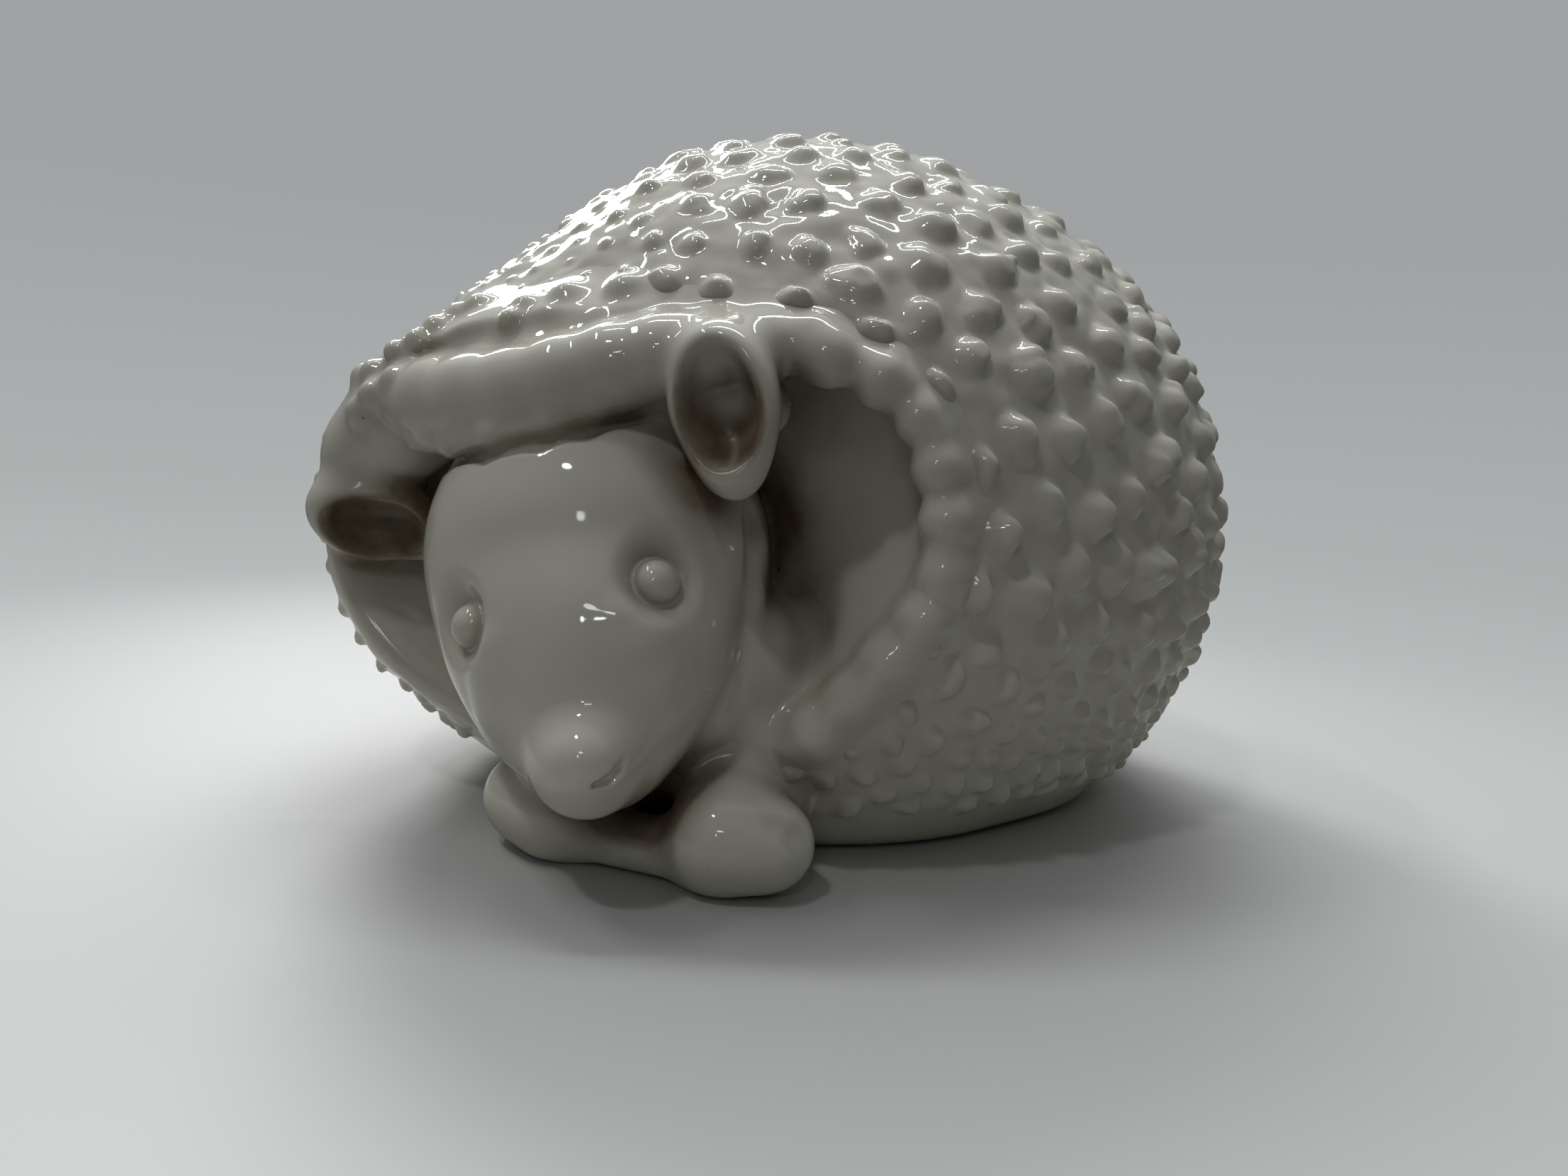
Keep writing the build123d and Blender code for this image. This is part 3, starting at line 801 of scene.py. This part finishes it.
# Hem roll: the thick smooth edge of the coat, rolled forward over the forehead.
# A sausage of clay in the mould, its back melted into the coat and its front lip hanging free.
roll_finish = glaze("roll glaze")
roll_fillet = 0.0035
roll_radii = (0.0030, 0.0044, 0.0054, 0.0058, 0.0058, 0.0058, 0.0056, 0.0052)
groove_fillet, tier_fillet, lip_fillet, bead_fillet = 0.0008, 0.0006, 0.0009, 0.0012
link_fillet, root_depth, skin_share = 0.0010, 0.0015, 0.4


def chain(places, line, radii, fillet=link_fillet):
    """Balls of those radii along a line of points, joined into one smooth run."""
    form = None
    for start, end, start_radius, end_radius in zip(line, line[1:], radii, radii[1:]):
        link = ball_pair(places, start, end, start_radius, end_radius)
        form = link if form is None else melt(form, link, fillet)
    return form


# Rows in millimetres of the drawing, each with a radius: a lower tier in front, the groove over it, the
# thin lip, and the beads on its ledge.
tier = [
    (-28.6, -40.0, 41.4, 2.2), (-26.6, -40.4, 41.9, 3.2), (-23.2, -41.3, 42.0, 4.1),
    (-18.2, -42.4, 42.4, 4.3), (-13.2, -42.7, 43.2, 4.3), (-8.7, -42.4, 44.5, 4.2), (-4.2, -41.5, 46.2, 3.9),
    (-0.2, -40.5, 47.4, 3.6), (4.8, -39.3, 48.2, 3.0), (9.3, -38.1, 48.8, 2.4), (13.3, -36.9, 49.0, 1.9),
]
groove = [
    (-25.7, -40.9, 46.0, 1.3), (-21.7, -42.3, 48.0, 1.7), (-16.9, -43.1, 49.5, 2.0),
    (-11.2, -43.0, 50.6, 2.0), (-7.2, -42.6, 51.5, 1.9), (-3.7, -41.7, 52.3, 1.7), (-0.2, -40.6, 52.9, 1.4),
    (3.7, -39.8, 52.5, 1.2), (7.2, -38.8, 52.1, 1.05), (10.6, -38.1, 51.5, 0.9), (12.7, -37.4, 51.1, 0.7),
]
lip = [
    (-25.2, -41.6, 38.4, 1.3), (-19.7, -43.8, 38.5, 1.4), (-13.7, -45.3, 39.8, 1.4),
    (-8.5, -44.7, 41.2, 1.3), (-5.2, -43.3, 42.8, 1.2), (-2.3, -42.1, 44.5, 1.0),
]
ledge_beads = [
    (-15.4, -39.0, 51.5, 1.1), (-11.5, -38.0, 52.7, 1.2), (-5.6, -37.6, 53.5, 1.1),
    (-28.7, -41.0, 46.6, 1.1), (-26.5, -40.6, 47.9, 1.0), (-30.1, -42.6, 42.4, 1.2),
    (-27.3, -42.9, 44.0, 1.1), (-25.5, -39.1, 49.3, 1.1), (-24.3, -37.1, 50.6, 1.1),
    (-33.6, -39.6, 44.0, 1.2), (-32.0, -42.3, 40.6, 1.1), (-22.0, -36.9, 51.6, 1.1),
    (-15.8, -41.0, 50.2, 0.9), (-31.6, -40.9, 44.6, 1.0),
]


def along_points(rows):
    """Points and radii out of rows in millimetres of the drawing."""
    rows = np.array(rows) / 1000
    return [origin + row[:3] for row in rows], rows[:, 3]


def roll_form(places):
    form = chain(places, roll_line(np.linspace(*roll_angles, len(roll_radii))), roll_radii)
    form = carve(form, chain(places, *along_points(groove)), groove_fillet)
    form = melt(form, chain(places, *along_points(tier)), tier_fillet)
    form = melt(form, chain(places, *along_points(lip)), lip_fillet)
    for place, radius in zip(*along_points(ledge_beads)):
        form = melt(form, ball(places, place, radius), bead_fillet)
    return form


def around(node, margin, *more):
    """The corners of a box round a node of the model and more points, larger by a margin."""
    corners = np.array([*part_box(node), *more])
    return corners.min(0) - margin, corners.max(0) + margin


def lute(name, node, body, form, fillet, finish, margin, more=(), cell=coat_cell):
    """A form joined to a body: a closed piece with its fillet thinned out on the body and a root inside it.

    The body with the form on it comes back; the form changes it only inside a box round the node."""
    low, high = around(node, margin, *more)

    def whole(places):
        both = body(places)
        close = ((places > low) & (places < high)).all(-1)
        both[close] = melt(both[close], form(places[close]), fillet)
        return both

    def piece_form(places):
        under, own = body(places), form(places)
        return np.maximum(np.maximum(melt(under, own, fillet), own - fillet), -under - root_depth)

    points, quads = smooth_skin(piece_form, low, high, cell)
    points[:, 2] = np.maximum(points[:, 2], 0)
    outside = body(points) > -skin_share * cell
    facing = np.where(outside[:, None], slope_of(whole, points), slope_of(piece_form, points))
    piece = mesh_of(name, points, quads, unit(facing), finish)
    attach(piece, "root")
    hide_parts(node)
    return whole


with_roll = lute("hem_roll", "hood_roll", body_form, roll_form, roll_fillet, roll_finish, margin=0.007,
                 more=along_points(tier + groove + lip)[0])

# Throat: the fold of the chest beside the chin.
# Clay left full where the neck turns out of the coat.
throat_finish = glaze("throat glaze")
throat_fillet, fold_fillet = 0.0030, 0.0012
throat_place, throat_radius = spot(0.0045, -0.0305, 0.0155), 0.0102
neck_fold = [
    (5.8, -33.3, 30.0, 2.6), (6.1, -34.5, 25.0, 2.9), (6.8, -36.0, 21.0, 3.0), (7.1, -37.5, 18.0, 3.0),
    (6.2, -39.0, 15.0, 2.9), (4.2, -40.5, 12.5, 2.6),
]


def throat_form(places):
    return melt(ball(places, throat_place, throat_radius), chain(places, *along_points(neck_fold)),
                fold_fillet)


with_throat = lute("throat", "throat", with_roll, throat_form, throat_fillet, throat_finish,
                   margin=0.009, more=along_points(neck_fold)[0])

# Head: skull, cheeks and muzzle, leaning towards the animal's right.
# A hollow part of the casting, sponged smooth, with a shallow dish round each eye.
head_finish = glaze("face glaze", speck_amount=0.6)
head_turn, head_dip, head_tilt = np.radians((30.5, 41.0, 24.0))
muzzle_way = np.array([np.sin(head_turn) * np.cos(head_dip), -np.cos(head_turn) * np.cos(head_dip),
                       -np.sin(head_dip)])
level_side = np.array([np.cos(head_turn), np.sin(head_turn), 0.0])
level_top = np.cross(muzzle_way, level_side)
head_top = level_top * np.cos(head_tilt) - level_side * np.sin(head_tilt)
head_side = level_side * np.cos(head_tilt) + level_top * np.sin(head_tilt)
skull = spot(-0.0086, -0.0343, 0.0278)
skull_radius, cheek_radius, muzzle_radius = 0.0170, 0.0126, 0.0072
cheek_station, muzzle_station = 0.0095, 0.0207
head_fillet, muzzle_fillet, swelling_fillet, lid_fillet = 0.0012, 0.0020, 0.0030, 0.0026
hollow_fillet, gap_fillet = 0.0012, 0.0008
eye_station, eye_clock = 0.0125, np.radians(46.0)
eye_share = (eye_station - cheek_station) / (muzzle_station - cheek_station)
eye_distance = cheek_radius + eye_share * (muzzle_radius - cheek_radius)
eye_ways = {side: head_top * np.cos(eye_clock) + head_side * np.sin(eye_clock) * turn
            for side, turn in (("left", 1), ("right", -1))}
eye_places = {side: skull + muzzle_way * eye_station + way * eye_distance for side, way in eye_ways.items()}
dish_radius, dish_rise, dish_fillet = 0.0048, 0.0053, 0.0012
dish_forward, dish_inward = 0.0012, 0.0009
# The jowl and the other cheek, by the station, side and radius of their ends; the furrows beside the cheek
# and under the hood's lip; and the fold under an eye.
swellings = (((0.0115, 0.0012, 0.0112), (0.0180, 0.0032, 0.0060)),
             ((0.0080, -0.0026, 0.0119), (0.0150, -0.0026, 0.0086)))
cheek_hollow = [
    (9.0, -34.8, 33.5, 1.9), (9.7, -34.6, 29.0, 2.3), (9.5, -34.6, 24.5, 2.4), (8.1, -35.7, 20.5, 2.4),
    (7.3, -37.4, 17.0, 2.2),
]
lip_gap = [
    (-25.0, -41.0, 36.0, 1.0), (-19.7, -43.5, 36.9, 1.1), (-13.7, -47.0, 38.2, 1.1),
    (-8.5, -46.6, 39.6, 1.1), (-5.2, -44.7, 40.9, 1.2), (-2.3, -41.0, 42.6, 1.3),
]
under_eye = [
    (2.4, -49.2, 24.7, 1.2), (3.6, -48.9, 22.8, 1.5), (4.7, -48.3, 20.2, 1.6),
]


def head_form(places):
    cheeks, muzzle = skull + muzzle_way * cheek_station, skull + muzzle_way * muzzle_station
    head = melt(ball_pair(places, skull, cheeks, skull_radius, cheek_radius),
                ball_pair(places, cheeks, muzzle, cheek_radius, muzzle_radius), muzzle_fillet)
    for (*start, start_radius), (*end, end_radius) in swellings:
        ends = [skull + muzzle_way * along + head_side * aside for along, aside in (start, end)]
        head = melt(head, ball_pair(places, *ends, start_radius, end_radius), swelling_fillet)
    head = carve(head, chain(places, *along_points(cheek_hollow)), hollow_fillet)
    head = carve(head, chain(places, *along_points(lip_gap)), gap_fillet)
    line, radii = along_points(under_eye)
    for side, way in eye_ways.items():
        flip = head_side * 2 * (side == "right")
        lids = [place - flip * ((place - skull) @ head_side) for place in line]
        head = melt(head, chain(places, lids, radii), lid_fillet)
        dish = eye_places[side] + way * dish_rise + muzzle_way * dish_forward
        dish = dish - head_side * (way @ head_side) * dish_inward
        head = carve(head, ball(places, dish, dish_radius), dish_fillet)
    return head


with_head = lute("head", "head_shell", with_throat, head_form, head_fillet, head_finish, margin=0.006)

# Nose: the round tip of the muzzle.
# A bead of clay smoothed on, with the mouth drawn under it.
nose_finish = glaze("nose glaze", speck_amount=0.6)
nose_fillet, lips_fillet, crease_link, crease_fillet = 0.0014, 0.0010, 0.0005, 0.0003
nose_radius = 0.0048
nose_forward, nose_rise = 0.0045, 0.0022
nose_place = skull + muzzle_way * (muzzle_station + nose_forward) + head_top * nose_rise
upper_lip = [
    (4.2, -54.3, 12.4, 0.8), (3.3, -55.1, 12.0, 0.9), (2.3, -55.7, 11.8, 0.9), (0.9, -55.9, 11.6, 0.9),
]
mouth_line = [
    (5.6, -53.6, 14.6, 0.25), (5.3, -54.5, 13.4, 0.4), (4.7, -55.4, 12.6, 0.35), (3.9, -56.1, 12.3, 0.25),
]


def nose_form(places):
    nose = melt(ball(places, nose_place, nose_radius), chain(places, *along_points(upper_lip)), lips_fillet)
    return carve(nose, chain(places, *along_points(mouth_line), crease_link), crease_fillet)


with_nose = lute("nose", "nose", with_head, nose_form, nose_fillet, nose_finish, margin=0.006, cell=0.0003)

# Eyes: small beads in their dishes.
# Round pellets of clay pressed in and covered by the same glaze.
eye_finish = glaze("eye glaze", speck_amount=0.0)
eye_fillet = 0.0005
bead_radius, bead_rise = 0.0021, 0.0006


def eye_form(side):
    return lambda places: ball(places, eye_places[side] + eye_ways[side] * bead_rise, bead_radius)


with_eyes = with_nose
for side in ("left", "right"):
    with_eyes = lute(side + "_eye", side + "_eye", with_eyes, eye_form(side), eye_fillet, eye_finish,
                     margin=0.003, cell=0.0002)

# Ears: oval leaves, each with a deep scoop in front.
# Pinched leaves of clay set on the head, where dust gathers in the scoop and painted shade darkens it.
ear_finish = glaze("ear glaze")
ear_fillet, leaf_fillet = 0.0018, 0.0020
ear_thickness, ear_sink, scoop_setback, scoop_rim, scoop_depth = 0.0046, 0.0014, 0.0032, 0.0017, 0.0060
leaf_rise, scoop_lowering = 0.0010, 0.0006
root_drop, root_shares = 0.0040, (0.62, 0.52, 0.8)    # its width, height and thickness against the leaf's


def ear_axes(rise, front):
    """Side, rise and front of an ear as rows at right angles."""
    front = np.array(front) / length(np.array(front))
    rise = np.array(rise) - front * (np.array(rise) @ front)
    rise = rise / length(rise)
    return np.stack([np.cross(rise, front), rise, front])


ears = {
    "left": (spot(0.0074, -0.0432, 0.0433), ear_axes((-0.26, 0.10, 1.0), (0.10, -1.0, 0.10)),
             0.0051, 0.0077),
    "right": (spot(-0.0325, -0.0386, 0.0290), ear_axes((-1.0, -0.20, 0.40), (0.50, -1.0, -0.50)),
              0.0048, 0.0074),
}


def ear_form(side):
    centre, axes, half_width, half_height = ears[side]
    centre = centre - axes[2] * ear_sink
    half = np.array([half_width, half_height, ear_thickness])
    scoop_radii = np.array([half_width - scoop_rim, half_height - scoop_rim - scoop_lowering, scoop_depth])

    def form(places):
        leaf = egg(places, centre + axes[1] * leaf_rise, axes, half - (0, leaf_rise, 0))
        root = egg(places, centre - axes[1] * root_drop, axes, half * root_shares)
        scoop = egg(places, centre + axes[2] * scoop_setback, axes, scoop_radii)
        return carve(melt(leaf, root, leaf_fillet), scoop, leaf_fillet)

    return form


with_ears = with_eyes
for side in ("left", "right"):
    with_ears = lute(side + "_ear", side + "_ear", with_ears, ear_form(side), ear_fillet, ear_finish,
                     margin=0.006, cell=0.0003)

# Hem scallops: the lobed edge of the coat beside the head.
# Beads of clay on the rim of the bowl, half sunk and softened by the glaze.
scallop_finish = glaze("scallop glaze")
scallop_fillet, lobe_fillet = 0.0022, 0.0008
hem_edge = [
    (12.9, -36.9, 50.0, 1.5), (14.2, -37.1, 48.2, 1.7), (17.4, -36.1, 47.6, 1.8), (20.8, -34.9, 45.8, 1.9),
    (23.8, -34.3, 42.0, 2.0), (25.2, -34.4, 38.0, 2.0), (26.0, -34.4, 35.0, 2.0), (26.2, -34.6, 32.0, 2.0),
    (26.2, -34.7, 29.2, 2.0), (25.2, -35.2, 26.0, 2.0), (23.4, -35.7, 22.8, 2.0), (20.8, -36.6, 19.4, 1.9),
    (18.2, -37.1, 16.6, 1.8), (15.0, -37.2, 12.8, 1.6),
]
first_lobe, lobe_gap, lobe_radius, lobe_sizes = 0.0030, 0.0048, 0.0023, (1.0, 1.10, 0.92)
rim_share, edge_room = 0.78, 0.002
edge_places, edge_radii = along_points(hem_edge)
steps = np.array([0] + [length(end - start) for start, end in zip(edge_places, edge_places[1:])]).cumsum()
lobes = [np.array([np.interp(walked, steps, [place[axis] for place in edge_places]) for axis in range(3)])
         for walked in np.arange(first_lobe, steps[-1], lobe_gap)]


def scallop_form(places):
    form = chain(places, edge_places, edge_radii * rim_share)
    for index, place in enumerate(lobes):
        form = melt(form, ball(places, place, lobe_radius * lobe_sizes[index % len(lobe_sizes)]), lobe_fillet)
    return form


with_hem = lute("hem_scallops", "hem_knobs", with_ears, scallop_form, scallop_fillet, scallop_finish,
                margin=0.005, cell=0.0004,
                more=[place + shift for place in edge_places for shift in (-edge_room, edge_room)])

# Front paws: a short forearm and a broad hand each, and the web of clay between them.
# Cast with the body and flat underneath, with a crease that marks off the outer toe.
paw_finish = glaze("paw glaze")
paw_fillet, toe_fillet, sole_round = 0.0020, 0.0020, 0.0010
wrist_radius, paw_radius, toe_radius, web_radius = 0.0065, 0.0052, 0.0044, 0.0028
toe_crease = [
    (14.4, -45.9, 8.6, 0.5), (16.2, -45.0, 7.9, 0.8), (17.7, -44.0, 6.7, 0.9), (18.8, -43.3, 4.6, 0.8),
]
paw_x = {"left": 0.0100, "right": -0.0070}
wrist_inward, toe_outward = 0.0030, 0.0039


def paw_form(side):
    outward = 1 if side == "left" else -1
    wrist = spot(paw_x[side] - outward * wrist_inward, -0.0280, 0.0078)
    hand = spot(paw_x[side], -0.0430, 0.0047)
    toe = spot(paw_x[side] + outward * toe_outward, -0.0420, 0.0047)

    def form(places):
        paw = ball_pair(places, wrist, hand, wrist_radius, paw_radius)
        paw = melt(paw, ball(places, toe, toe_radius), toe_fillet)
        if side == "left":
            paw = carve(paw, chain(places, *along_points(toe_crease)), sole_round)
        return carve(paw, places[..., 2], sole_round)

    return form


with_paws = with_hem
for side in ("left", "right"):
    with_paws = lute(side + "_paw", side + "_front_paw", with_paws, paw_form(side), paw_fillet, paw_finish,
                     margin=0.011)


def web_form(places):
    web = ball_pair(places, spot(paw_x["right"], -0.0425, 0.0025), spot(paw_x["left"], -0.0425, 0.0025),
                    web_radius, web_radius)
    return carve(web, places[..., 2], sole_round)


casting = lute("paw_web", "paw_web", with_paws, web_form, paw_fillet, paw_finish, margin=0.010)

# Painted shade and dust: years on a shelf leave dust where a cloth doesn't reach, and the same dark brown
# paints the shade that falls in closed-in places.
# How closed in each point is, from how far it is to other clay in front of it.
looks = (0.0010, 0.0025, 0.0050, 0.0100)
open_freedom, freedom_range, dust_and_shade_everywhere = 0.90, 0.6, 0.55
dust_and_shade_places = [  # each with its reach and how much more dust and painted shade lies there
    (ears["left"][0] - ears["left"][1][1] * 0.0015, 0.0042, 2.2), (ears["right"][0], 0.0045, 2.2),
    (spot(0.0015, -0.0430, 0.0050), 0.0075, 0.9), (spot(0.0120, -0.0300, 0.0330), 0.0120, 0.6),
]
for piece in [o for o in bpy.data.objects if o.type == "MESH" and "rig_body" in o and "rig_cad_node" not in o]:
    count = len(piece.data.vertices)
    points, facing = np.empty(count * 3, np.float32), np.empty(count * 3, np.float32)
    piece.data.vertices.foreach_get("co", points)
    piece.data.vertices.foreach_get("normal", facing)
    points, facing = points.reshape(-1, 3).astype(float), facing.reshape(-1, 3).astype(float)
    freedom = np.mean([np.clip(casting(points + facing * look) / look, 0, 1) for look in looks], 0)
    hollow = np.clip((open_freedom - freedom) / freedom_range, 0, 1)
    share = sum(more * nearness(points, place, reach) for place, reach, more in dust_and_shade_places)
    hollow = np.clip(hollow * (dust_and_shade_everywhere + share), 0, 1)
    keep(piece.data, "hollow", hollow)
